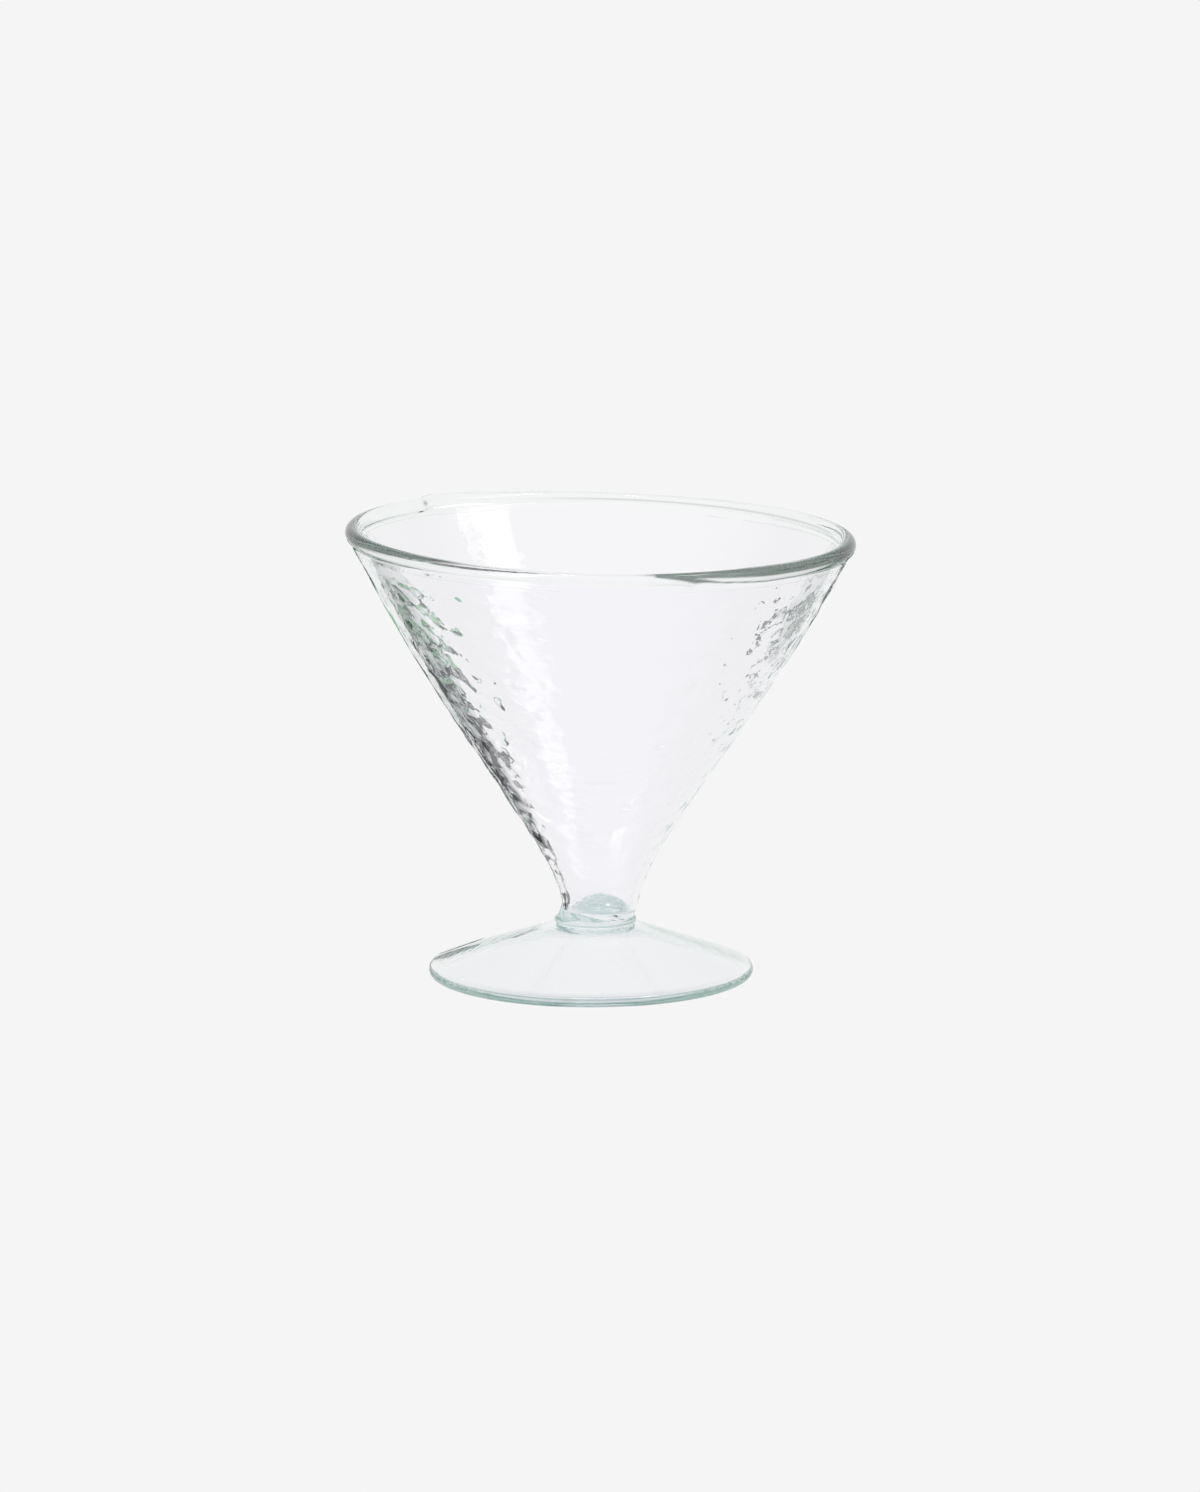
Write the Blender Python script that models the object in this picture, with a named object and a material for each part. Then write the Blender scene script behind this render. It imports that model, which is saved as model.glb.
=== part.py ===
"""A hand-blown cocktail glass: a hammered conical bowl with a wound lip bead, on a collar and a foot.

Metres, +Z up. The origin is on the axis, on the plane that the foot stands on.
"""

from math import asin, atan2, cos, hypot, pi, radians, sin, sqrt, tan

import bmesh
import bpy
from mathutils import Vector
from mathutils.geometry import interpolate_bezier

# overall sizes
GLASS_HEIGHT = 0.0900  # standing plane to the top of the lip bead
RIM_DIAMETER = 0.1020  # across the outside of the lip bead
FOOT_DIAMETER = 0.0650  # across the rolled edge of the foot

# clearance that every fused seam keeps between its two faces
SEAM_GAP = 0.0003

# lip bead, a thread of glass wound on the lip
BEAD_THICKNESS = 0.0031
BEAD_BITE = 0.0006  # depth of the groove that the lip sits in

# bowl
LIP_WALL = 0.0020
NECK_WALL = 0.0024
NECK_DIAMETER = 0.0166
NECK_LENGTH = 0.0003  # upright stretch above the rounded bottom edge
NECK_ROUND = 0.0010  # radius of the bottom edge
LIP_LEAN = radians(27.0)  # wall at the lip, measured from upright
NECK_PULL = 0.0104  # how far the wall keeps the neck's direction
LIP_PULL = 0.0396  # how far the wall keeps the lip's direction
BASE_WALL = 0.0016  # glass under the lowest part of the inside
FLOOR_KICK = 0.0026  # rise of the inside floor at its middle
FLOOR_TROUGH = 0.0012  # radius of the trough round the kicked floor

# collar, the button between bowl and foot
COLLAR_OVERHANG = 0.0007  # how far it stands out past the neck
COLLAR_THICKNESS = 0.0026
COLLAR_RISE = 0.0002  # its widest line above the foot's lip
DISH_DEPTH = 0.0006  # shallow dish that takes the bowl's bottom
DISH_LAND = 0.0002  # flat width round the dish

# foot
FOOT_HEIGHT = 0.0114  # up to the lip of the cup that takes the collar
FOOT_LAND = 0.0004  # flat width of that lip
FOOT_SHEET = 0.0024  # thickness of the cone
FOOT_CROWN = 0.0018  # thickness under the cup
FOOT_EDGE = 0.0027  # diameter of the rolled edge
RING_WIDTH = 0.0018  # flat ring that the foot stands on

# mesh fineness
SEGMENTS = 64  # around the axis
WALL_STEPS = 12  # along the bowl's wall
ARC_STEPS = 4  # along each rounded edge
MERGE = 1e-6
SHARP_ANGLE = radians(35.0)

GLASS_IOR = 1.52

# places of the joints
neck_radius = NECK_DIAMETER / 2.0
collar_radius = neck_radius + COLLAR_OVERHANG
collar_shoulder = collar_radius - COLLAR_THICKNESS / 2.0  # where its rounded edge starts
dish_reach = collar_shoulder - DISH_LAND
collar_level = FOOT_HEIGHT + COLLAR_RISE  # widest line of the collar
collar_top = collar_level + COLLAR_THICKNESS / 2.0
bead_level = GLASS_HEIGHT - BEAD_THICKNESS / 2.0  # middle of the bead
bead_radius = RIM_DIAMETER / 2.0 - BEAD_THICKNESS / 2.0

# distance from the middle of the bead to the middle of the lip's rounding, along the wall
lip_drop = BEAD_THICKNESS / 2.0 + LIP_WALL / 2.0 + SEAM_GAP - BEAD_BITE


def arc(centre, radius, start, end, steps=ARC_STEPS):
    """Points of an arc in the profile plane, with angles from +X towards +Z and both ends included."""
    points = []
    for step in range(steps + 1):
        angle = start + (end - start) * step / steps
        points.append((centre[0] + radius * cos(angle), centre[1] + radius * sin(angle)))
    return points


def cap(sphere_middle, radius, reach, steps=ARC_STEPS):
    """The underside of a sphere on the axis, from the axis out to the radius reach."""
    widest = asin(reach / radius)
    outward = arc((0.0, sphere_middle), radius, -pi / 2.0, widest - pi / 2.0, steps)
    return [(0.0, sphere_middle - radius)] + outward[1:]


def glass(name, colour, roughness):
    """A clear glass material."""
    material = bpy.data.materials.new(name)
    material.use_nodes = True
    shader = material.node_tree.nodes["Principled BSDF"]
    shader.inputs["Base Color"].default_value = colour
    shader.inputs["Roughness"].default_value = roughness
    shader.inputs["Metallic"].default_value = 0.0
    shader.inputs["IOR"].default_value = GLASS_IOR
    shader.inputs["Transmission Weight"].default_value = 1.0
    return material


def turned(name, profile, height, material, parent, closed=False):
    """One piece turned about the axis from its profile, set at its height on the parent."""
    mesh = bpy.data.meshes.new(name)
    form = bmesh.new()
    points = [form.verts.new((radius, 0.0, level)) for radius, level in profile]
    for first, second in zip(points, points[1:]):
        form.edges.new((first, second))
    if closed:
        form.edges.new((points[-1], points[0]))
    bmesh.ops.spin(
        form,
        geom=form.verts[:] + form.edges[:],
        cent=(0.0, 0.0, 0.0),
        axis=(0.0, 0.0, 1.0),
        angle=2.0 * pi,
        steps=SEGMENTS,
        use_merge=True,
    )
    bmesh.ops.remove_doubles(form, verts=form.verts[:], dist=MERGE)
    bmesh.ops.recalc_face_normals(form, faces=form.faces[:])
    form.to_mesh(mesh)
    form.free()
    mesh.shade_smooth()
    mesh.set_sharp_from_angle(angle=SHARP_ANGLE)
    mesh.materials.append(material)
    piece = bpy.data.objects.new(name, mesh)
    piece.location = (0.0, 0.0, height)
    piece.parent = parent
    bpy.context.collection.objects.link(piece)
    return piece


def lip_middle(level):
    """Middle of the lip's rounding, in heights counted from level."""
    radius = bead_radius - lip_drop * sin(LIP_LEAN)
    return radius, bead_level - lip_drop * cos(LIP_LEAN) - level


def dish_sphere():
    """Radius of the sphere that the collar's dish is cut to, and its middle above the collar's top."""
    radius = (dish_reach**2 + DISH_DEPTH**2) / (2.0 * DISH_DEPTH)
    return radius, radius - DISH_DEPTH


def bead_profile():
    """A round thread, with a groove below that straddles the lip. Heights count from its middle."""
    thread = BEAD_THICKNESS / 2.0
    groove = LIP_WALL / 2.0 + SEAM_GAP
    middle = (bead_radius, 0.0)
    groove_middle = lip_middle(bead_level)
    down = -pi / 2.0 - LIP_LEAN  # from the bead to the lip
    along = (lip_drop**2 + thread**2 - groove**2) / (2.0 * lip_drop)
    half_width = sqrt(thread**2 - along**2)
    opening = atan2(half_width, along)
    mouth = atan2(half_width, lip_drop - along)
    outside = arc(middle, thread, down + 2.0 * pi - opening, down + opening, 3 * ARC_STEPS)
    inside = arc(groove_middle, groove, down + pi - mouth, down + pi + mouth)
    return outside + inside[1:-1]


def bowl_wall(seat):
    """Outer wall from neck to lip, and its inner face. Heights count from the collar's top."""
    neck_start = Vector((neck_radius, seat + NECK_ROUND + NECK_LENGTH))
    tangent = Vector((sin(LIP_LEAN), cos(LIP_LEAN)))
    outward = Vector((cos(LIP_LEAN), -sin(LIP_LEAN)))
    lip_end = Vector(lip_middle(collar_top)) + outward * LIP_WALL / 2.0
    neck_handle = neck_start + Vector((0.0, NECK_PULL))
    lip_handle = lip_end - tangent * LIP_PULL
    outer = interpolate_bezier(neck_start, neck_handle, lip_handle, lip_end, WALL_STEPS)
    inner = []
    for index, point in enumerate(outer):
        before = outer[max(index - 1, 0)]
        after = outer[min(index + 1, WALL_STEPS - 1)]
        run = (after - before).normalized()
        if index == 0:
            run = Vector((0.0, 1.0))
        if index == WALL_STEPS - 1:
            run = tangent
        share = index / (WALL_STEPS - 1)
        thickness = NECK_WALL + (LIP_WALL - NECK_WALL) * share
        inner.append(point + Vector((-run.y, run.x)) * thickness)
    return outer, inner


def bowl_profile():
    """Up the inside, over the lip and down the outside. Heights count from the collar's top."""
    dish_radius, dish_middle = dish_sphere()
    cap_radius = dish_radius - SEAM_GAP
    cap_reach = neck_radius - NECK_ROUND
    bottom = cap(dish_middle, cap_radius, cap_reach)
    seat = bottom[-1][1]
    outer, inner = bowl_wall(seat)

    floor = seat + BASE_WALL
    well = neck_radius - NECK_WALL
    kick_reach = well - FLOOR_TROUGH
    kick_radius = (kick_reach**2 + FLOOR_KICK**2) / (2.0 * FLOOR_KICK)
    kick_middle = floor + FLOOR_KICK - kick_radius
    kick_edge = atan2(floor - kick_middle, kick_reach)
    kick = arc((0.0, kick_middle), kick_radius, pi / 2.0, kick_edge)
    kick[0] = (0.0, floor + FLOOR_KICK)
    trough = arc((kick_reach, floor + FLOOR_TROUGH), FLOOR_TROUGH, -pi / 2.0, 0.0, ARC_STEPS // 2)
    inside = [(point.x, point.y) for point in inner if point.y > floor + 1.5 * FLOOR_TROUGH]

    lip = arc(lip_middle(collar_top), LIP_WALL / 2.0, pi - LIP_LEAN, -LIP_LEAN, 2 * ARC_STEPS)
    outside = [(point.x, point.y) for point in reversed(outer)]
    neck_edge = arc((cap_reach, seat + NECK_ROUND), NECK_ROUND, 0.0, -pi / 2.0, ARC_STEPS // 2)
    underside = bottom[-2::-1]
    return kick + trough[1:] + inside[:-1] + lip + outside[1:] + neck_edge + underside


def collar_profile():
    """A button with a half-round edge and a dished top. Heights count from its widest line."""
    half = COLLAR_THICKNESS / 2.0
    dish_radius, dish_middle = dish_sphere()
    dish = cap(half + dish_middle, dish_radius, dish_reach)
    edge = arc((collar_shoulder, 0.0), half, pi / 2.0, -pi / 2.0, 2 * ARC_STEPS)
    return dish + edge + [(0.0, -half)]


def foot_profile():
    """Cup, cone, rolled edge, standing ring and the hollow below. Heights count from the ground."""
    cup_round = COLLAR_THICKNESS / 2.0 + SEAM_GAP
    cup_middle = (collar_shoulder, collar_level)
    cup_floor = collar_level - cup_round
    cup_lip = -asin(COLLAR_RISE / cup_round)
    cup = arc(cup_middle, cup_round, -pi / 2.0, cup_lip)

    land = (cup[-1][0] + FOOT_LAND, FOOT_HEIGHT)
    roll = FOOT_EDGE / 2.0
    roll_middle = (FOOT_DIAMETER / 2.0 - roll, roll)
    across = roll_middle[0] - land[0]
    down = land[1] - roll_middle[1]
    slope = atan2(down, across) - asin(roll / hypot(across, down))
    edge = arc(roll_middle, roll, pi / 2.0 - slope, -pi / 2.0, 2 * ARC_STEPS)

    ring_inside = roll_middle[0] - RING_WIDTH
    cone_end = edge[0]
    sheet_drop = FOOT_SHEET / cos(slope)
    ring_rise = cone_end[1] + (cone_end[0] - ring_inside) * tan(slope) - sheet_drop
    ceiling = cup_floor - FOOT_CROWN
    ceiling_reach = cone_end[0] - (ceiling + sheet_drop - cone_end[1]) / tan(slope)
    hollow = [(ring_inside, 0.0), (ring_inside, ring_rise), (ceiling_reach, ceiling), (0.0, ceiling)]
    return [(0.0, cup_floor)] + cup + [land] + edge + hollow


def main():
    for item in list(bpy.data.objects):
        bpy.data.objects.remove(item, do_unlink=True)

    stand = bpy.data.objects.new("cocktail_glass", None)
    bpy.context.collection.objects.link(stand)

    bowl_glass = glass("hammered_clear_glass", (0.95, 0.95, 0.97, 1.0), 0.02)
    bead_glass = glass("pale_green_thread_glass", (0.78, 0.86, 0.81, 1.0), 0.02)
    collar_glass = glass("pale_green_solid_glass", (0.82, 0.89, 0.86, 1.0), 0.02)
    foot_glass = glass("clear_foot_glass", (0.90, 0.94, 0.94, 1.0), 0.02)

    turned("foot", foot_profile(), 0.0, foot_glass, stand)
    turned("collar", collar_profile(), collar_level, collar_glass, stand)
    turned("bowl", bowl_profile(), collar_top, bowl_glass, stand)
    turned("rim_bead", bead_profile(), bead_level, bead_glass, stand, closed=True)


main()
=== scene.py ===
import random
from math import acos, asin, atan2, cos, exp, hypot, pi, radians, sin, sqrt, tan

import bpy
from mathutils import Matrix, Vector
from mathutils.geometry import interpolate_bezier
from mathutils.kdtree import KDTree


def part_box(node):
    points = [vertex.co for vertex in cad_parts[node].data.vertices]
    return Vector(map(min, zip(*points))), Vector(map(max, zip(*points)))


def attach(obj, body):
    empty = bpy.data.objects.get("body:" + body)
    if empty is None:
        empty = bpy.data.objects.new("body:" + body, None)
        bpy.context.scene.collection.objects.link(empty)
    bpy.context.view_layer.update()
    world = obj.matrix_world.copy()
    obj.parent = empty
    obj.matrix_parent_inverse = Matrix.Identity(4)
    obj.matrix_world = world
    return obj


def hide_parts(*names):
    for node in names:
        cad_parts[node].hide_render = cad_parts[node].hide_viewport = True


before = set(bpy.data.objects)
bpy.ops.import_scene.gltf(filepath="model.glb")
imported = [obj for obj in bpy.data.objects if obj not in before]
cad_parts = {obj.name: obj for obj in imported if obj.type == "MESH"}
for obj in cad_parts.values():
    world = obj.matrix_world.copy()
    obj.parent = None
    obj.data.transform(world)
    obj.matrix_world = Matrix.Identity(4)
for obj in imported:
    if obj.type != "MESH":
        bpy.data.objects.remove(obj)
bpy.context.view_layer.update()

mm = 0.001
mergeReach = 0.001 * mm
seamReach = 0.01 * mm           # a face this near a seam belongs to it
smoothAngle = radians(40.0)
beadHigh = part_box("rim_bead")[1]
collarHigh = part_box("collar")[1]
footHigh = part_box("foot")[1]

# how the hand-made glass sits out of true, the same for every piece
lean = {
    "rimTilt": radians(1.45),  # rim lower on the right
    "tiltFrom": 24 * mm,       # height where the tilt starts
    "tiltTo": 84 * mm,         # height from which it is full
    "levels": (2.5 * mm, 11.2 * mm, 15.0 * mm),   # heights where the shifts below are reached
    "shifts": (-1.2 * mm, -0.3 * mm, 0.65 * mm),  # foot, collar and bowl, to the right of the axis
}


def ease(low, high, value):
    share = min(max((value - low) / (high - low), 0.0), 1.0)
    return share * share * (3.0 - 2.0 * share)


def blendTo(first, second, share):
    return first + (second - first) * share


def arc(middle, radius, start, end, steps):
    # both ends included, angles from outward to up
    points = []
    for step in range(steps + 1):
        angle = blendTo(start, end, step / steps)
        points.append((middle[0] + radius * cos(angle), middle[1] + radius * sin(angle)))
    return points


def lengthsAlong(points):
    # length of the line up to each of its points
    lengths = [0.0]
    for first, second in zip(points, points[1:]):
        lengths.append(lengths[-1] + hypot(second[0] - first[0], second[1] - first[1]))
    return lengths


def evenly(points, spacing):
    # the same line, with its points the same distance apart
    lengths = lengthsAlong(points)
    count = max(round(lengths[-1] / spacing), 1)
    result = []
    index = 0
    for step in range(count + 1):
        target = lengths[-1] * step / count
        while index < len(points) - 2 and lengths[index + 1] < target:
            index += 1
        share = (target - lengths[index]) / (lengths[index + 1] - lengths[index])
        first, second = points[index], points[index + 1]
        result.append((blendTo(first[0], second[0], share), blendTo(first[1], second[1], share)))
    return result


def drawProfile(name, points):
    # a plane pulled together to one point, then drawn on from point to point
    bpy.ops.object.select_all(action="DESELECT")
    bpy.ops.mesh.primitive_plane_add(size=mm, location=(0.0, 0.0, 0.0))
    piece = bpy.context.object
    piece.name = name
    piece.data.name = name
    bpy.ops.object.mode_set(mode="EDIT")
    bpy.ops.mesh.select_mode(type="VERT")
    bpy.ops.mesh.select_all(action="SELECT")
    bpy.ops.mesh.merge(type="CENTER")
    bpy.ops.transform.translate(value=(points[0][0], 0.0, points[0][1]))
    for first, second in zip(points, points[1:]):
        step = (second[0] - first[0], 0.0, second[1] - first[1])
        bpy.ops.mesh.extrude_vertices_move(TRANSFORM_OT_translate={"value": step})
    return piece


def turnProfile(piece, segments):
    # the drawn line is screwed once round the axis, closed at its seam and poles, and faced outwards
    bpy.ops.object.mode_set(mode="OBJECT")
    bpy.ops.object.modifier_add(type="SCREW")
    screw = piece.modifiers[-1]
    screw.steps = segments
    screw.render_steps = segments
    screw.use_merge_vertices = True
    screw.merge_threshold = mergeReach
    bpy.ops.object.modifier_apply(modifier=screw.name)
    bpy.ops.object.mode_set(mode="EDIT")
    bpy.ops.mesh.select_all(action="SELECT")
    bpy.ops.mesh.remove_doubles(threshold=mergeReach)
    bpy.ops.mesh.normals_make_consistent(inside=False)
    bpy.ops.object.mode_set(mode="OBJECT")


def addGlass(piece, glass, isSeam):
    # light is bent at every face but those where two pieces are fused, and the mesh carries which is which
    piece.data.materials.append(glass)
    bending = piece.data.attributes.new("bending", "FLOAT", "FACE")
    inside = piece.data.attributes.new("inside", "FLOAT", "FACE")
    for face in piece.data.polygons:
        radius = hypot(face.center.x, face.center.y)
        bending.data[face.index].value = fusedIndex if isSeam(radius, face.center.z) else glassIndex
        towardsAxis = face.normal.x * face.center.x + face.normal.y * face.center.y < 0.0
        inside.data[face.index].value = 1.0 if towardsAxis else 0.0


def finishPiece(piece, node):
    bpy.ops.object.select_all(action="DESELECT")
    piece.select_set(True)
    bpy.context.view_layer.objects.active = piece
    bpy.ops.object.shade_smooth_by_angle(angle=smoothAngle)
    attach(piece, "root")
    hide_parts(node)
    print(piece.name, len(piece.data.polygons), "faces")


def linear(hexColour):
    # sRGB hex to the linear colour that the shaders take
    channels = []
    for start in (1, 3, 5):
        value = int(hexColour[start:start + 2], 16) / 255.0
        channels.append(value / 12.92 if value <= 0.04045 else ((value + 0.055) / 1.055) ** 2.4)
    return (*channels, 1.0)


def addNode(tree, kind, settings, links):
    # settings go to inputs, by name or number, or to plain properties
    # links pair an input with another node's output
    node = tree.nodes.new(kind)
    for name, value in settings.items():
        if isinstance(name, int) or name in node.inputs:
            node.inputs[name].default_value = value
        else:
            setattr(node, name, value)
    for name, output in links.items():
        tree.links.new(output, node.inputs[name])
    return node


def newMaterial(name):
    material = bpy.data.materials.new(name)
    material.use_nodes = True
    material.node_tree.nodes.clear()
    return material, material.node_tree


glassIndex = 1.52
fusedIndex = 1.0                # light goes straight on from one piece of glass into the next
glassTint = linear("#00a890")   # iron in the batch takes red first, then blue


def makeGlass(name, colour, density, unevenSize, unevenDepth, insideDepth, paintedShade=None):
    # soda-lime glass, fire polished: clear and bright, with a green that shows only along its depth,
    # and a skin so slightly uneven that it only makes the edges of reflections wander
    material, tree = newMaterial(name)
    bending = addNode(tree, "ShaderNodeAttribute", {"attribute_name": "bending"}, {})
    place = addNode(tree, "ShaderNodeTexCoord", {}, {})
    settings = {"Scale": 1.0 / unevenSize, "Detail": 2.0, "Roughness": 0.45}
    noise = addNode(tree, "ShaderNodeTexNoise", settings, {"Vector": place.outputs["Object"]})
    inside = addNode(tree, "ShaderNodeAttribute", {"attribute_name": "inside"}, {})
    settings = {"To Min": unevenDepth, "To Max": insideDepth}
    reach = addNode(tree, "ShaderNodeMapRange", settings, {"Value": inside.outputs["Fac"]})
    links = {"Height": noise.outputs[0], "Distance": reach.outputs["Result"]}
    bump = addNode(tree, "ShaderNodeBump", {}, links)
    links = {"IOR": bending.outputs["Fac"], "Normal": bump.outputs["Normal"]}
    # painted shade: where the mesh's attribute says, the base colour turns to a darker grey-green
    if paintedShade:
        # inputs 6 and 7 of a colour mix are its two colours, and output 2 is what they make
        shadeMask = addNode(tree, "ShaderNodeAttribute", {"attribute_name": "paintedShade"}, {})
        settings = {"data_type": "RGBA", 6: linear(colour), 7: linear(paintedShade)}
        mixed = addNode(tree, "ShaderNodeMix", settings, {0: shadeMask.outputs["Fac"]})
        links["Base Color"] = mixed.outputs[2]
    settings = {
        "Base Color": linear(colour),
        "Roughness": 0.0,
        "Transmission Weight": 1.0,
        "IOR": glassIndex,
    }
    shader = addNode(tree, "ShaderNodeBsdfPrincipled", settings, links)
    settings = {"Color": glassTint, "Density": density}
    depth = addNode(tree, "ShaderNodeVolumeAbsorption", settings, {})
    links = {"Surface": shader.outputs["BSDF"], "Volume": depth.outputs["Volume"]}
    addNode(tree, "ShaderNodeOutputMaterial", {}, links)
    print(name, "mixed")
    return material


# blown and hammered: a faintly cool wall that breaks what is behind it into flakes
bowlGlass = makeGlass(
    "hammered_soda_lime_glass", colour="#fefdff", density=8.0,
    unevenSize=3.6 * mm, unevenDepth=0.025 * mm, insideDepth=0.08 * mm)
# drawn out hot and wound on: a smooth bright rod, grey-green where painted shade darkens it
beadGlass = makeGlass(
    "wound_soda_lime_thread", colour="#ffffff", density=8.0,
    unevenSize=4.0 * mm, unevenDepth=0.02 * mm, insideDepth=0.02 * mm, paintedShade="#3f4d45")
# pressed from a small gather: solid, so its green shows round the edge
collarGlass = makeGlass(
    "pressed_soda_lime_button", colour="#ffffff", density=4.0,
    unevenSize=2.5 * mm, unevenDepth=0.03 * mm, insideDepth=0.03 * mm)
# spun out to a thin sheet: almost clear and greener at its edge, with fine dark lines of painted shade
# there
footGlass = makeGlass(
    "spun_soda_lime_foot", colour="#fefeff", density=9.0,
    unevenSize=6.0 * mm, unevenDepth=0.03 * mm, insideDepth=0.03 * mm, paintedShade="#8a9e9f")

# lip bead and bowl share the line of the wall where they are fused
wallLine = {
    "lipLean": radians(27.0),      # wall at the lip, from upright
    "lipWall": 2.0 * mm,
    "neckWall": 1.1 * mm,
    "beadThickness": 3.1 * mm,
    "outerFillet": 3.2 * mm,       # hollow rounding where the bead runs into the wall
    "innerFillet": 0.7 * mm,
    "beadInset": 0.25 * mm,        # bead stands in a little from the middle of the wall
    "fuseDrop": 2.3 * mm,          # seam below the middle of the bead, along the wall
    "lipEndDrop": 2.7 * mm,        # where the wall starts to curve
    "neckInset": 1.4 * mm,         # neck in from the edge of the CAD collar
    "neckRise": 13.6 * mm,         # start of the wall's curve
    "neckPull": 10.4 * mm,
    "lipPull": 39.6 * mm,
    "curveSteps": 400,
    "neckSeam": 12.2 * mm,         # bowl fused to the collar here
    "seamGap": 0.02 * mm,          # hair's breadth that keeps two fused faces apart
    "segments": 340,
}
beadHalf = wallLine["beadThickness"] / 2.0
beadMiddle = Vector((beadHigh.x - beadHalf, beadHigh.z - beadHalf))
upWall = Vector((sin(wallLine["lipLean"]), cos(wallLine["lipLean"])))
outWall = Vector((cos(wallLine["lipLean"]), -sin(wallLine["lipLean"])))
neckRadius = collarHigh.x - wallLine["neckInset"]


def nearLip(outward, upward):
    # a place given from the middle of the bead, across and up the wall
    place = beadMiddle + outWall * outward + upWall * upward
    return place.x, place.y


def sway(piece):
    # tilt of the rim, and the bowl, collar and foot a little off each other's axis
    low, middle, high = lean["levels"]
    footShift, collarShift, bowlShift = lean["shifts"]
    for vertex in piece.data.vertices:
        level = vertex.co.z
        shift = blendTo(footShift, collarShift, ease(low, middle, level))
        shift = blendTo(shift, bowlShift, ease(middle, high, level))
        vertex.co.z -= tan(lean["rimTilt"]) * vertex.co.x * ease(lean["tiltFrom"], lean["tiltTo"], level)
        vertex.co.x += shift


bowl = {
    "ringSpacing": 0.52 * mm,
    "innerSpacing": 1.9 * mm,
    "floor": 13.2 * mm,            # lowest inside point
    "kick": 3.5 * mm,              # middle of the floor above its lowest point
    "kickSteps": 48,
    "trough": 0.3 * mm,
    "troughSteps": 5,
    "wallFrom": 0.45 * mm,         # inner wall starts this far above the floor
    "tooling": 0.045 * mm,         # rings left on the kick by the tool
    "toolingPitch": 1.05 * mm,
    "dimplePitch": 6.0 * mm,       # from dent to dent round the bowl
    "dimpleHeight": 0.62,          # of a dent, as a share of its width
    "rowShare": 0.87,              # rows sit into each other like bricks
    "fewestInRow": 5,
    "strayRound": 0.28,            # of the pitch
    "strayRings": 3,               # up or down the wall
    "dimpleReach": (3.5 * mm, 5.4 * mm),
    "dimpleDepth": (0.08 * mm, 0.22 * mm),
    "plainBand": 0.5 * mm,         # smooth wall under the bead, in front
    "plainBack": 9.0 * mm,         # and at the back
    "plainTurn": (-0.2, 0.4),      # from front to back, as a share of the radius
    "plainNeck": 5.0 * mm,         # smooth wall above the neck
    "fadeLength": 3.5 * mm,
    "levelStep": 0.0001 * mm,      # levels are matched to this
    "outerReach": 0.2 * mm,        # nearer than this to the outer line is the outer wall
    "seed": 8,
}


def wallPoints():
    lipEnd = Vector(nearLip(wallLine["lipWall"] / 2.0, -wallLine["lipEndDrop"]))
    neckStart = Vector((neckRadius, wallLine["neckRise"]))
    neckHandle = neckStart + Vector((0.0, wallLine["neckPull"]))
    lipHandle = lipEnd - upWall * wallLine["lipPull"]
    curve = interpolate_bezier(neckStart, neckHandle, lipHandle, lipEnd, wallLine["curveSteps"])
    seamEnd = nearLip(wallLine["lipWall"] / 2.0, -wallLine["fuseDrop"] - wallLine["seamGap"])
    return [(point.x, point.y) for point in curve] + [seamEnd]


def insetWall(points):
    # inner face of the wall, which thickens from neck to lip
    inner = []
    for index, point in enumerate(points):
        before = points[max(index - 1, 0)]
        after = points[min(index + 1, len(points) - 1)]
        run = Vector((after[0] - before[0], after[1] - before[1])).normalized()
        thickness = blendTo(wallLine["neckWall"], wallLine["lipWall"], index / (len(points) - 1))
        inner.append((point[0] - run.y * thickness, point[1] + run.x * thickness))
    return inner


def layDents(outer, length, stretch):
    # places of the dents, stretched upright until each is round, and the reach and depth of each
    randomiser = random.Random(bowl["seed"])
    rows = round(length / (bowl["dimplePitch"] * bowl["dimpleHeight"] * bowl["rowShare"]))
    spots = []
    dents = []
    for row in range(rows):
        index = round((row + 0.5) / rows * (len(outer) - 1))
        count = max(round(2.0 * pi * outer[index][0] / bowl["dimplePitch"]), bowl["fewestInRow"])
        for place in range(count):
            stray = randomiser.uniform(-bowl["strayRound"], bowl["strayRound"])
            angle = 2.0 * pi * (place + 0.5 * (row % 2) + stray) / count
            ring = index + randomiser.randint(-bowl["strayRings"], bowl["strayRings"])
            radius, level = outer[min(max(ring, 0), len(outer) - 1)]
            spots.append(Vector((radius * cos(angle), radius * sin(angle), level * stretch)))
            reach = randomiser.uniform(*bowl["dimpleReach"])
            dents.append((reach, randomiser.uniform(*bowl["dimpleDepth"])))
    return spots, dents


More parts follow.
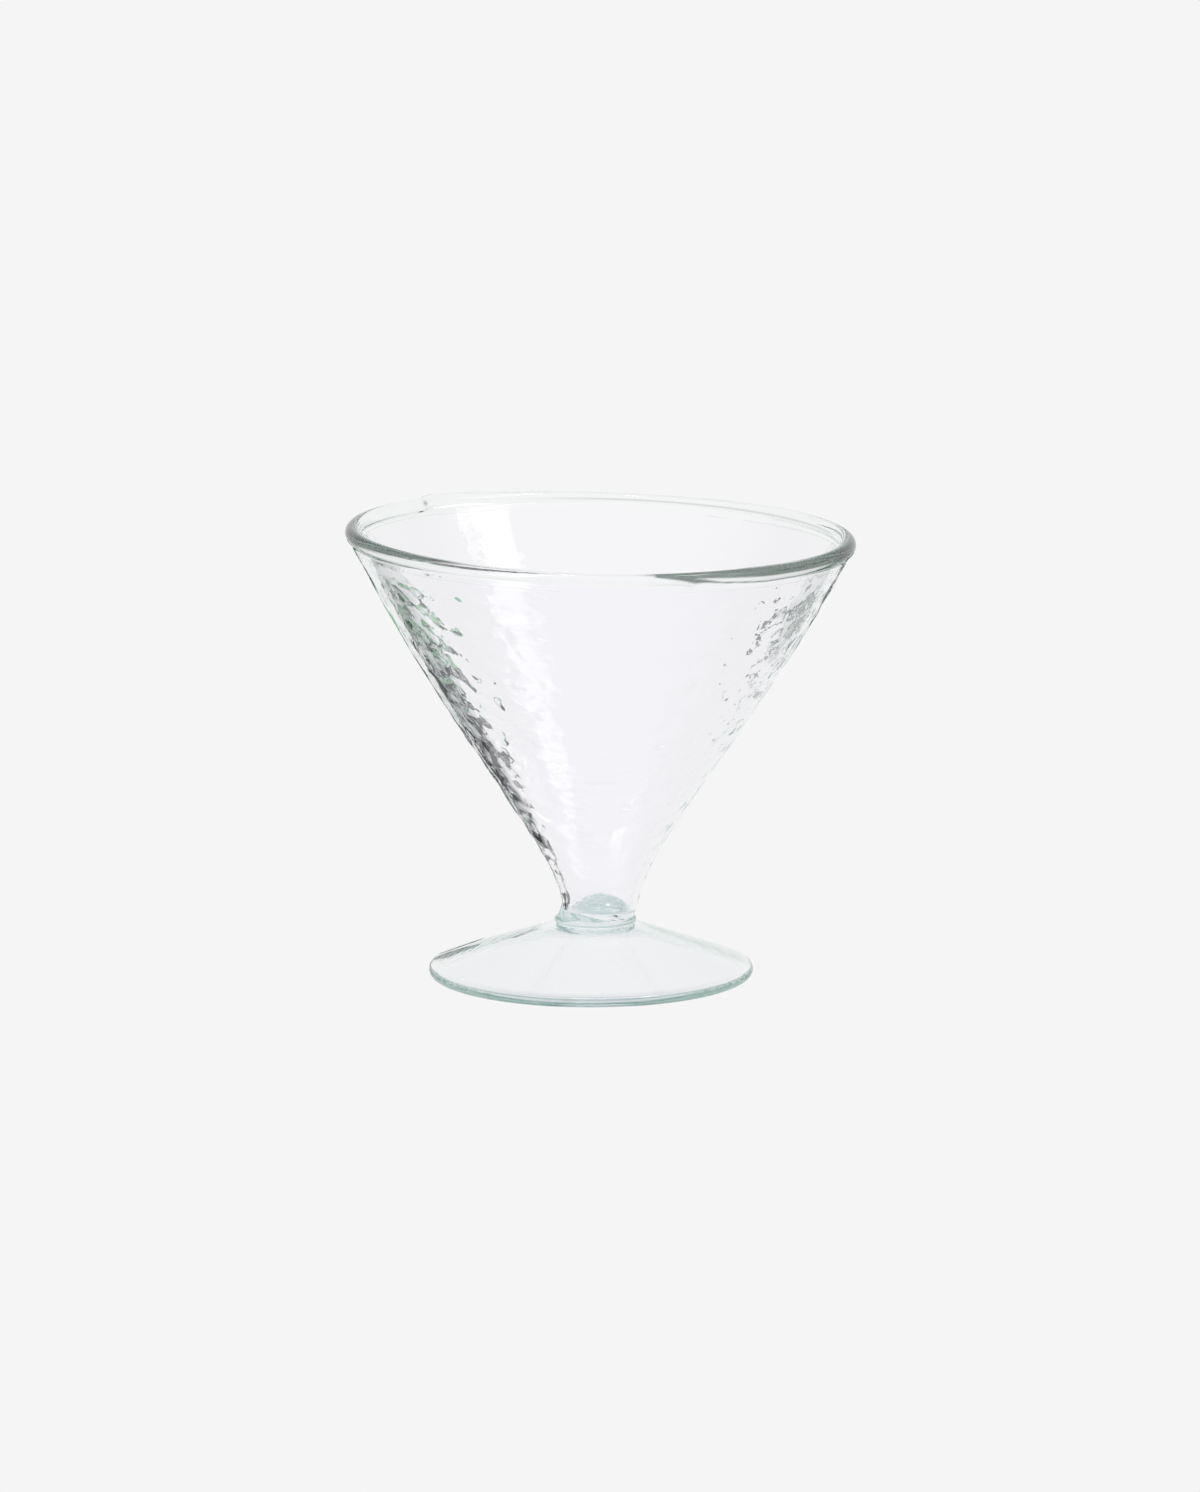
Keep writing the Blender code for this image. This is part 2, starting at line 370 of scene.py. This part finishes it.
def hammer(piece, outer):
    # shallow overlapping dents, as the bowl takes from a dimpled mould
    lengths = lengthsAlong(outer)
    stretch = 1.0 / bowl["dimpleHeight"]
    spots, dents = layDents(outer, lengths[-1], stretch)
    tree = KDTree(len(spots))
    for number, spot in enumerate(spots):
        tree.insert(spot, number)
    tree.balance()
    widest = bowl["dimpleReach"][1]
    byLevel = {}
    for index, point in enumerate(outer):
        step = round(point[1] / bowl["levelStep"])
        for near in (step - 1, step, step + 1):
            byLevel[near] = index
    moves = {}
    for vertex in piece.data.vertices:
        index = byLevel.get(round(vertex.co.z / bowl["levelStep"]))
        if index is None:
            continue
        radius = outer[index][0]
        if abs(hypot(vertex.co.x, vertex.co.y) - radius) > bowl["outerReach"]:
            continue
        deepest = 0.0
        here = Vector((vertex.co.x, vertex.co.y, vertex.co.z * stretch))
        for spot, number, distance in tree.find_range(here, widest):
            reach, depth = dents[number]
            deepest = max(deepest, depth * (1.0 - (distance / reach) ** 2))
        along = lengths[index]
        fade = ease(bowl["plainNeck"], bowl["plainNeck"] + bowl["fadeLength"], along)
        toLip = lengths[-1] - along
        atBack = ease(*bowl["plainTurn"], vertex.co.y / radius)
        plain = blendTo(bowl["plainBand"], bowl["plainBack"], atBack)
        fade *= ease(plain, plain + bowl["fadeLength"], toLip)
        if deepest * fade > 0.0:
            moves[vertex.index] = vertex.co - vertex.normal * deepest * fade
    for index, place in moves.items():
        piece.data.vertices[index].co = place
    print("hammered", len(dents), "dents,", len(moves), "points moved")


def makeBowl():
    outer = evenly(wallPoints(), bowl["ringSpacing"])
    inner = insetWall(evenly(wallPoints(), bowl["innerSpacing"]))
    floor = bowl["floor"]
    well = neckRadius - wallLine["neckWall"]
    kickReach = well - bowl["trough"]
    kickRadius = (kickReach ** 2 + bowl["kick"] ** 2) / (2.0 * bowl["kick"])
    kickMiddle = floor + bowl["kick"] - kickRadius
    kickEdge = atan2(floor - kickMiddle, kickReach)
    kick = [(0.0, floor + bowl["kick"])]
    for radius, level in arc((0.0, kickMiddle), kickRadius, pi / 2.0, kickEdge, bowl["kickSteps"])[1:]:
        fade = ease(0.0, bowl["toolingPitch"], kickReach - radius)
        rings = cos(2.0 * pi * radius / bowl["toolingPitch"])
        kick.append((radius, level + fade * bowl["tooling"] * rings))
    troughMiddle = (kickReach, floor + bowl["trough"])
    trough = arc(troughMiddle, bowl["trough"], -pi / 2.0, 0.0, bowl["troughSteps"])
    inside = [point for point in inner if point[1] > floor + bowl["wallFrom"]]
    lipSeam = -wallLine["fuseDrop"] - wallLine["seamGap"]
    inside[-1] = nearLip(-wallLine["lipWall"] / 2.0, lipSeam)
    seamLevel = wallLine["neckSeam"] + wallLine["seamGap"]
    bottom = [(neckRadius, seamLevel), (0.0, seamLevel)]
    profile = kick + trough[1:] + inside + list(reversed(outer)) + bottom
    piece = drawProfile("hammered_bowl", profile)
    turnProfile(piece, wallLine["segments"])

    def isSeam(radius, level):
        if level < seamLevel + seamReach:
            return True
        reach = (Vector((radius, level)) - beadMiddle).dot(upWall)
        return abs(reach - lipSeam) < seamReach

    addGlass(piece, bowlGlass, isSeam)
    hammer(piece, outer)
    sway(piece)
    finishPiece(piece, "bowl")


bead = {
    "roundSteps": 28,
    "outerSteps": 40,
    "innerSteps": 10,
    "spacing": 0.17 * mm,
    "waves": ((0.03, 3.0, 0.6), (0.02, 7.0, 2.0)),  # drawn out by hand: share, waves round the rim, start
    "changes": (                   # thinner or thicker round the rim: angle, reach, share
        (radians(-97.0), radians(48.0), -0.30),
        (radians(-25.0), radians(40.0), 0.06),
        (radians(80.0), radians(70.0), -0.24),
    ),
    "looseFrom": 0.1 * mm,         # changes of thickness start this far above the seam
    "looseTo": -0.5 * mm,          # and are full from here up, from the middle of the bead
    "freeRise": 0.3 * mm,          # blob and tail grow to their full rise over this above the seam
    "lap": radians(134.9),         # one end of the thread lies over the other here
    "lapThicker": 0.10,
    "lapStep": radians(1.9),
    "lapReach": radians(26.0),
    "lapLift": 0.5 * mm,
    "lapShade": radians(137.65),    # painted shade in the pocket beside the step, inside
    "lapShadeLevel": 0.05 * mm,
    "lapShadeSize": 0.55 * mm,
    "lapShadeShare": 0.95,
    "end": radians(-69.0),         # blob where the other end was pressed on
    "endSize": 1.3 * mm,
    "endRise": 0.55 * mm,
    "endDrop": 0.3 * mm,           # below the middle of the bead
    "tail": radians(-38.0),        # thin second thread from the blob to here
    "tailStart": radians(1.2),     # it rises out of the blob over this
    "tailRise": 0.32 * mm,
    "tailWidth": 0.50 * mm,
    "tailDrop": 1.0 * mm,          # below the middle of the bead
    "paintedShade": {                     # degrees, and the level in mm above which painted shade makes the thread grey-green
        -84.0: 1.6, -69.0: 0.85, -50.0: 0.25, -20.0: 0.3, 10.0: 0.6, 32.0: 1.7,
        155.0: 1.7, 172.0: 0.7, 195.0: 0.35, 210.0: 0.7, 225.0: 1.0, 245.0: 1.6, 276.0: 1.6,
    },
    "shadeEdge": 0.35 * mm,
    "shadeBack": -0.5 * mm,        # the side towards the axis stays clear
    "shadeLine": {                 # painted shade along the second thread, in degrees and mm
        -78.0: 1.5, -70.0: 0.85, -62.0: -0.1, -50.0: -0.75, -38.0: -0.55, -27.0: 0.1,
    },
    "shadeLineHalf": 0.19 * mm,
    "shadeLineSoft": (0.5, 1.5),   # fades over these shares of that
    "shadeBlobHalf": 0.5 * mm,     # thicker at the blob
    "shadeBlobReach": radians(4.0),
    "innerShadeLine": (8.0, 22.0, 85.0, 115.0),     # thin line of painted shade inside at the back, waxing and waning
    "innerSide": -0.5 * mm,        # inside is further in than this
    "innerLevel": -0.75 * mm,
    "innerHalf": 0.22 * mm,
    "innerSoft": (0.4, 1.4),
    "innerShadeShare": 0.45,
}


def turnFrom(angle, start):
    # signed turn from one angle to another, within half a turn
    return (angle - start + pi) % (2.0 * pi) - pi


def lapShare(angle):
    # full just past the lap, gone a little further on
    past = -turnFrom(angle, bead["lap"])
    return ease(-bead["lapStep"], 0.0, past) * (1.0 - ease(0.0, bead["lapReach"], past))


def levelAt(marks, turn):
    # level between marks in degrees and mm, straight from one to the next, or nothing beyond them
    marks = [(radians(mark), level * mm) for mark, level in marks.items()]
    for (first, firstLevel), (second, secondLevel) in zip(marks, marks[1:]):
        if first <= turn <= second:
            return blendTo(firstLevel, secondLevel, (turn - first) / (second - first))
    return None


def paintedShadeShare(angle, outward, upward):
    # how much painted shade makes the thread grey-green at a place of its skin
    first = radians(min(bead["paintedShade"]))
    turn = (angle - first) % (2.0 * pi) + first
    start = levelAt(bead["paintedShade"], turn)
    share = 0.0 if start is None else ease(start, start + bead["shadeEdge"], upward)
    line = levelAt(bead["shadeLine"], turn)
    if line is not None:
        blob = exp(-(turnFrom(angle, bead["end"]) / bead["shadeBlobReach"]) ** 2)
        away = abs(upward - line) / blendTo(bead["shadeLineHalf"], bead["shadeBlobHalf"], blob)
        share = max(share, 1.0 - ease(*bead["shadeLineSoft"], away))
    share *= ease(bead["shadeBack"] - bead["shadeEdge"], bead["shadeBack"], outward)
    if outward < bead["innerSide"]:
        start, full, last, end = [radians(mark) for mark in bead["innerShadeLine"]]
        away = abs(upward - bead["innerLevel"]) / bead["innerHalf"]
        line = ease(start, full, turn) * (1.0 - ease(last, end, turn))
        line *= 1.0 - ease(*bead["innerSoft"], away)
        share = max(share, bead["innerShadeShare"] * line)
        away = hypot(turnFrom(angle, bead["lapShade"]) * beadMiddle.x, upward - bead["lapShadeLevel"])
        share = max(share, bead["lapShadeShare"] * exp(-(away / bead["lapShadeSize"]) ** 2))
    return share


def threadShare(angle):
    # thickness of the thread round the rim
    share = 1.0
    for size, waves, start in bead["waves"]:
        share += size * sin(waves * angle + start)
    for middle, reach, change in bead["changes"]:
        share += change * (1.0 - ease(0.0, reach, abs(turnFrom(angle, middle))))
    return share + bead["lapThicker"] * lapShare(angle)


def windThread(piece):
    # the even ring gets its changes of thickness, lap, blob and tail, and carries where painted shade
    # darkens it
    inset = wallLine["beadInset"]
    seam = -wallLine["fuseDrop"]
    tailTurn = turnFrom(bead["tail"], bead["end"])
    # painted shade: each point of the thread carries how much darker grey-green it is painted
    paintedShade = piece.data.attributes.new("paintedShade", "FLOAT", "POINT")
    for vertex in piece.data.vertices:
        angle = atan2(vertex.co.y, vertex.co.x)
        place = Vector((hypot(vertex.co.x, vertex.co.y), vertex.co.z)) - beadMiddle
        outward, upward = place.dot(outWall), place.dot(upWall)
        paintedShade.data[vertex.index].value = paintedShadeShare(angle, outward, upward)
        loose = ease(seam + bead["looseFrom"], bead["looseTo"], upward)
        share = 1.0 + (threadShare(angle) - 1.0) * loose
        outward = (outward + inset) * share - inset
        upward *= share
        upward += bead["lapLift"] * loose * lapShare(angle)
        free = ease(seam, seam + bead["freeRise"], upward)
        if outward > 0.0:
            across = (upward + bead["tailDrop"]) / bead["tailWidth"]
            along = turnFrom(angle, bead["end"])
            ridge = exp(-across * across)
            run = ease(0.0, bead["tailStart"], along) * (1.0 - ease(0.0, 1.0, along / tailTurn))
            outward += bead["tailRise"] * ridge * run * free
            way = (along * hypot(vertex.co.x, vertex.co.y), upward + bead["endDrop"])
            blob = exp(-(way[0] ** 2 + way[1] ** 2) / bead["endSize"] ** 2)
            outward += bead["endRise"] * blob * free
        radius, level = nearLip(outward, upward)
        vertex.co = (radius * cos(angle), radius * sin(angle), level)


def makeBead():
    half = wallLine["lipWall"] / 2.0
    inset = wallLine["beadInset"]
    outer, inner = wallLine["outerFillet"], wallLine["innerFillet"]
    outerDrop = sqrt((beadHalf + outer) ** 2 - (half + outer + inset) ** 2)
    innerDrop = sqrt((beadHalf + inner) ** 2 - (half + inner - inset) ** 2)
    outerSwing = atan2(outerDrop, half + outer + inset)
    innerSwing = atan2(innerDrop, half + inner - inset)
    right = [(half, -wallLine["fuseDrop"])]
    right += arc((half + outer, -outerDrop), outer, pi, pi - outerSwing, bead["outerSteps"])
    left = arc((-half - inner, -innerDrop), inner, innerSwing, 0.0, bead["innerSteps"])
    left.append((-half, -wallLine["fuseDrop"]))
    thread = arc((-inset, 0.0), beadHalf, -outerSwing, pi + innerSwing, bead["roundSteps"])
    loop = evenly(right, bead["spacing"]) + thread[1:] + left[1:]
    profile = [nearLip(*point) for point in loop]
    piece = drawProfile("wound_rim_bead", profile + profile[:1])
    turnProfile(piece, wallLine["segments"])

    def isSeam(radius, level):
        reach = (Vector((radius, level)) - beadMiddle).dot(upWall)
        return reach < seamReach - wallLine["fuseDrop"]

    addGlass(piece, beadGlass, isSeam)
    windThread(piece)
    sway(piece)
    finishPiece(piece, "rim_bead")


collar = {
    "overhang": 0.6 * mm,         # past the neck
    "round": 0.85 * mm,
    "roundSteps": 14,
    "level": 11.2 * mm,           # its widest line
    "footSeam": 10.55 * mm,       # fused to the foot here
    "segments": 288,
}
foot = {
    "edge": 2.2 * mm,             # rounded edge that it stands on
    "edgeSteps": 48,
    "sheet": 1.3 * mm,            # thickness of the rest
    "taper": 22.0 * mm,           # from edge to sheet
    "ringSpacing": 1.5 * mm,
    "underSteps": 40,
    "shadeLines": 10.0,                # fine lines of painted shade round the edge, in a turn of its section
    "shadeLineWaves": 3.0,             # they wander up and down so often round the foot
    "shadeLinesFrom": radians(25.0),   # strongest in front, gone towards the sides
    "shadeLinesTo": radians(85.0),
    "shadeLinesSwing": (1.0, 1.4),     # and gone from the top and bottom of the edge, in radians
    "edgeShare": 0.95,            # of the edge's radius: points further in aren't on its round
    "ceiling": 9.5 * mm,
    "ceilingDrop": 0.4 * mm,      # the underside bends to the ceiling this far below it
    "bendPull": 1.0 * mm,
    "ceilingPull": 4.0 * mm,
    "crownSteps": 10,
    "segments": 288,
}
ringMiddle = (neckRadius + collar["overhang"] - collar["round"], collar["level"])
neckSwing = acos((neckRadius - ringMiddle[0]) / collar["round"])
seatSwing = asin((collar["footSeam"] - collar["level"]) / collar["round"])
seat = (ringMiddle[0] + collar["round"] * cos(seatSwing), collar["footSeam"])


def makeCollar():
    topLevel = wallLine["neckSeam"]
    edge = arc(ringMiddle, collar["round"], neckSwing, seatSwing, collar["roundSteps"])
    bottom = collar["footSeam"] + wallLine["seamGap"]
    profile = [(0.0, topLevel), (neckRadius, topLevel)] + edge + [(seat[0], bottom), (0.0, bottom)]
    piece = drawProfile("button_collar", profile)
    turnProfile(piece, collar["segments"])

    def isSeam(radius, level):
        onTop = level > topLevel - seamReach and radius < neckRadius
        return onTop or level < bottom + seamReach

    addGlass(piece, collarGlass, isSeam)
    sway(piece)
    finishPiece(piece, "collar")


def paintEdgeShade(piece, rollMiddle, roll):
    # fine grey-green lines of painted shade along the edge
    paintedShade = piece.data.attributes.new("paintedShade", "FLOAT", "POINT")
    for vertex in piece.data.vertices:
        across = hypot(vertex.co.x, vertex.co.y) - rollMiddle[0]
        up = vertex.co.z - rollMiddle[1]
        if across < 0.0 or hypot(across, up) < foot["edgeShare"] * roll:
            continue
        swing = atan2(up, across)
        angle = atan2(vertex.co.y, vertex.co.x)
        shadeLines = 0.5 + 0.5 * cos(foot["shadeLines"] * swing + sin(foot["shadeLineWaves"] * angle))
        front = 1.0 - ease(foot["shadeLinesFrom"], foot["shadeLinesTo"], abs(turnFrom(angle, -pi / 2.0)))
        paintedShade.data[vertex.index].value = shadeLines * front * (1.0 - ease(*foot["shadeLinesSwing"], abs(swing)))


def makeFoot():
    # a cone that thins from its rounded edge to an even sheet, hollow underneath
    roll = foot["edge"] / 2.0
    rollMiddle = (footHigh.x - roll, roll)
    across = rollMiddle[0] - seat[0]
    down = seat[1] - rollMiddle[1]
    slope = atan2(down, across) - atan2(roll, sqrt(across ** 2 + down ** 2 - roll ** 2))
    edge = arc(rollMiddle, roll, pi / 2.0 - slope, -pi / 2.0 - slope, foot["edgeSteps"])
    cone = evenly([seat, edge[0]], foot["ringSpacing"])
    inward = Vector((-cos(slope), sin(slope)))
    below = Vector((-sin(slope), -cos(slope)))
    reach = (Vector(edge[0]) - Vector(seat)).length
    run = []
    for step in range(foot["underSteps"] + 1):
        way = reach * step / foot["underSteps"]
        thickness = blendTo(foot["edge"], foot["sheet"], min(way / foot["taper"], 1.0))
        point = Vector(edge[0]) + inward * way + below * thickness
        if point.y < foot["ceiling"] - foot["ceilingDrop"]:
            run.append((point.x, point.y))
    bend = Vector(run[-1])
    end = Vector((0.0, foot["ceiling"]))
    bendHandle = bend + inward * foot["bendPull"]
    endHandle = end + Vector((foot["ceilingPull"], 0.0))
    crown = interpolate_bezier(bend, bendHandle, endHandle, end, foot["crownSteps"])
    under = run[1:] + [(point.x, point.y) for point in crown[1:]]
    under[-1] = (0.0, foot["ceiling"])
    profile = [(0.0, seat[1])] + cone[:-1] + edge + under
    piece = drawProfile("hollow_foot", profile)
    turnProfile(piece, foot["segments"])

    def isSeam(radius, level):
        return level > seat[1] - seamReach

    addGlass(piece, footGlass, isSeam)
    paintEdgeShade(piece, rollMiddle, roll)
    sway(piece)
    finishPiece(piece, "foot")


makeBowl()
makeBead()
makeCollar()
makeFoot()

studio = {
    "backdrop": "#f5f5f5",
    "floorSize": 8.0,
    "overheadFront": "#fbf8ff",
    "frontStrength": 1.35,
    "overheadBack": "#f4f6f8",
    "backStrength": 0.88,
    "overheadFrom": (0.15, 0.5),   # upward share of the direction where the tent turns to its roof
    "backFrom": (-0.5, 0.4),       # backward share where the roof turns from front to back
    "cameraDistance": 1.72,
    "cameraLift": radians(10.9),
    "lens": 208.0,
    "target": Vector((0.6 * mm, 0.0, 46.4 * mm)),
    "bounces": 64,                 # light goes to and fro in the thick glass
    "clearBounces": 32,
}


def makeWorld():
    # even white tent, with a roof that is brighter in front and dimmer at the back
    world = bpy.data.worlds.new("studio_world")
    bpy.context.scene.world = world
    world.use_nodes = True
    tree = world.node_tree
    tree.nodes.clear()
    place = addNode(tree, "ShaderNodeTexCoord", {}, {})
    apart = addNode(tree, "ShaderNodeSeparateXYZ", {}, {"Vector": place.outputs["Generated"]})
    start, end = studio["overheadFrom"]
    settings = {"interpolation_type": "SMOOTHSTEP", "From Min": start, "From Max": end}
    rise = addNode(tree, "ShaderNodeMapRange", settings, {"Value": apart.outputs["Z"]})
    start, end = studio["backFrom"]
    settings = {"interpolation_type": "SMOOTHSTEP", "From Min": start, "From Max": end}
    behind = addNode(tree, "ShaderNodeMapRange", settings, {"Value": apart.outputs["Y"]})
    low = addNode(tree, "ShaderNodeBackground", {"Color": linear(studio["backdrop"])}, {})
    settings = {"Color": linear(studio["overheadFront"]), "Strength": studio["frontStrength"]}
    front = addNode(tree, "ShaderNodeBackground", settings, {})
    settings = {"Color": linear(studio["overheadBack"]), "Strength": studio["backStrength"]}
    back = addNode(tree, "ShaderNodeBackground", settings, {})
    links = {0: behind.outputs["Result"], 1: front.outputs["Background"], 2: back.outputs["Background"]}
    high = addNode(tree, "ShaderNodeMixShader", {}, links)
    links = {0: rise.outputs["Result"], 1: low.outputs["Background"], 2: high.outputs["Shader"]}
    tent = addNode(tree, "ShaderNodeMixShader", {}, links)
    addNode(tree, "ShaderNodeOutputWorld", {}, {"Surface": tent.outputs["Shader"]})
    print("tent lit")


def glowing(name, colour, inReflection=False):
    # an even glow of its own, or one that shows only in a reflection
    material, tree = newMaterial(name)
    shader = addNode(tree, "ShaderNodeEmission", {"Color": linear(colour)}, {})
    surface = shader.outputs["Emission"]
    if inReflection:
        path = addNode(tree, "ShaderNodeLightPath", {}, {})
        clear = addNode(tree, "ShaderNodeBsdfTransparent", {}, {})
        links = {0: path.outputs["Glossy Depth"], 1: clear.outputs["BSDF"], 2: surface}
        surface = addNode(tree, "ShaderNodeMixShader", {}, links).outputs["Shader"]
    addNode(tree, "ShaderNodeOutputMaterial", {}, {"Surface": surface})
    return material


def makeFloor():
    # a lit table, as even as the tent, so that nothing casts a shadow on it
    bpy.ops.object.select_all(action="DESELECT")
    bpy.ops.mesh.primitive_plane_add(size=studio["floorSize"], location=(0.0, 0.0, 0.0))
    floor = bpy.context.object
    floor.name = "lit_table"
    floor.data.materials.append(glowing("lit_white_table", studio["backdrop"]))
    print("table laid")


# mats on the table that only the glass sees, each a colour and its corners in mm
cards = {
    "left_mat": ("#24292b", (-23, 35), (-35, 120), (-45, 200), (-53, 255),
                 (-80, 255), (-72, 160), (-60, 122), (-44, 80)),
    "pale_green_mat": ("#84bd92", (-56, 260), (-64, 325), (-118, 325), (-100, 260)),
    "deep_green_mat": ("#0d3a1a", (-70, 328), (-80, 385), (-112, 430), (-165, 430), (-125, 328)),
    "right_mat_1": ("#4c5a51", (65, 240), (77, 405), (92, 405), (80, 240)),
    "right_mat_2": ("#4c5a51", (90, 240), (102, 400), (150, 400), (138, 240)),
}
# seen only as a reflection in the walls
sheenCards = {
    "left_sheen_mat": ("#24292b", (-35, 17), (-60, 24), (-100, 37),
                       (-100, 135), (-85, 120), (-50, 72), (-36, 52)),
    "green_sheen_mat": ("#1f4f2e", (-100, 37), (-150, 55), (-150, 150), (-100, 135)),
    "right_sheen_mat": ("#9fa9a2", (104, 46), (140, 55), (140, 140), (104, 138)),
}
matLevel = 0.5 * mm
# a flag that stands behind on the left, seen only as a reflection in the foot
flags = {
    "shoulder_flag": ("#24292b", (-60, 10), (-60, 36), (-50, 30), (-45, 20), (-45, 8)),
}
flagBack = 200 * mm


def makeCards():
    allCards = {**cards, **sheenCards, **flags}
    for name, (colour, *corners) in allCards.items():
        mesh = bpy.data.meshes.new(name)
        places = [(across * mm, back * mm, matLevel) for across, back in corners]
        if name in flags:
            places = [(across * mm, flagBack, up * mm) for across, up in corners]
        mesh.from_pydata(places, [], [range(len(places))])
        card = bpy.data.objects.new(name, mesh)
        bpy.context.scene.collection.objects.link(card)
        card.data.materials.append(glowing(name, colour, name not in cards))
        card.visible_camera = False
        card.visible_diffuse = False
        card.visible_shadow = False
    print(len(allCards), "mats and flags set")


# direction from the glass, distance, width and height in m, power in W
softboxes = {
    "key_softbox": (Vector((0.68, -0.27, 0.70)), 0.8, 0.22, 0.35, 0.27),
    "low_softbox": (Vector((0.795, -0.242, 0.555)), 0.8, 0.30, 0.14, 0.15),
    "edge_light_right": (Vector((0.395, -0.05, 0.914)), 0.8, 0.14, 0.14, 0.6),
    "edge_light_front": (Vector((-0.10, -0.18, 0.975)), 0.8, 0.07, 0.10, 0.2),
}


def makeSoftboxes():
    for name, (way, distance, width, height, power) in softboxes.items():
        light = bpy.data.lights.new(name, "AREA")
        light.shape = "RECTANGLE"
        light.size = width
        light.size_y = height
        light.energy = power
        holder = bpy.data.objects.new(name, light)
        bpy.context.scene.collection.objects.link(holder)
        holder.location = studio["target"] + way.normalized() * distance
        holder.rotation_euler = (-way).to_track_quat("-Z", "Y").to_euler()
        holder.visible_camera = False
    print(len(softboxes), "softboxes hung")


def makeCamera():
    camera = bpy.data.cameras.new("studio_camera")
    camera.lens = studio["lens"]
    camera.sensor_fit = "AUTO"
    camera.sensor_width = 36.0
    camera.clip_start = 0.01
    camera.clip_end = 50.0
    holder = bpy.data.objects.new("studio_camera", camera)
    bpy.context.scene.collection.objects.link(holder)
    toCamera = Vector((0.0, -cos(studio["cameraLift"]), sin(studio["cameraLift"])))
    holder.location = studio["target"] + toCamera * studio["cameraDistance"]
    holder.rotation_euler = (-toCamera).to_track_quat("-Z", "Y").to_euler()
    bpy.context.scene.camera = holder
    print("camera set")


makeWorld()
makeFloor()
makeCards()
makeSoftboxes()
makeCamera()
scene = bpy.context.scene
scene.view_settings.view_transform = "Standard"
scene.cycles.max_bounces = studio["bounces"]
scene.cycles.glossy_bounces = studio["bounces"]
scene.cycles.transmission_bounces = studio["bounces"]
scene.cycles.transparent_max_bounces = studio["clearBounces"]
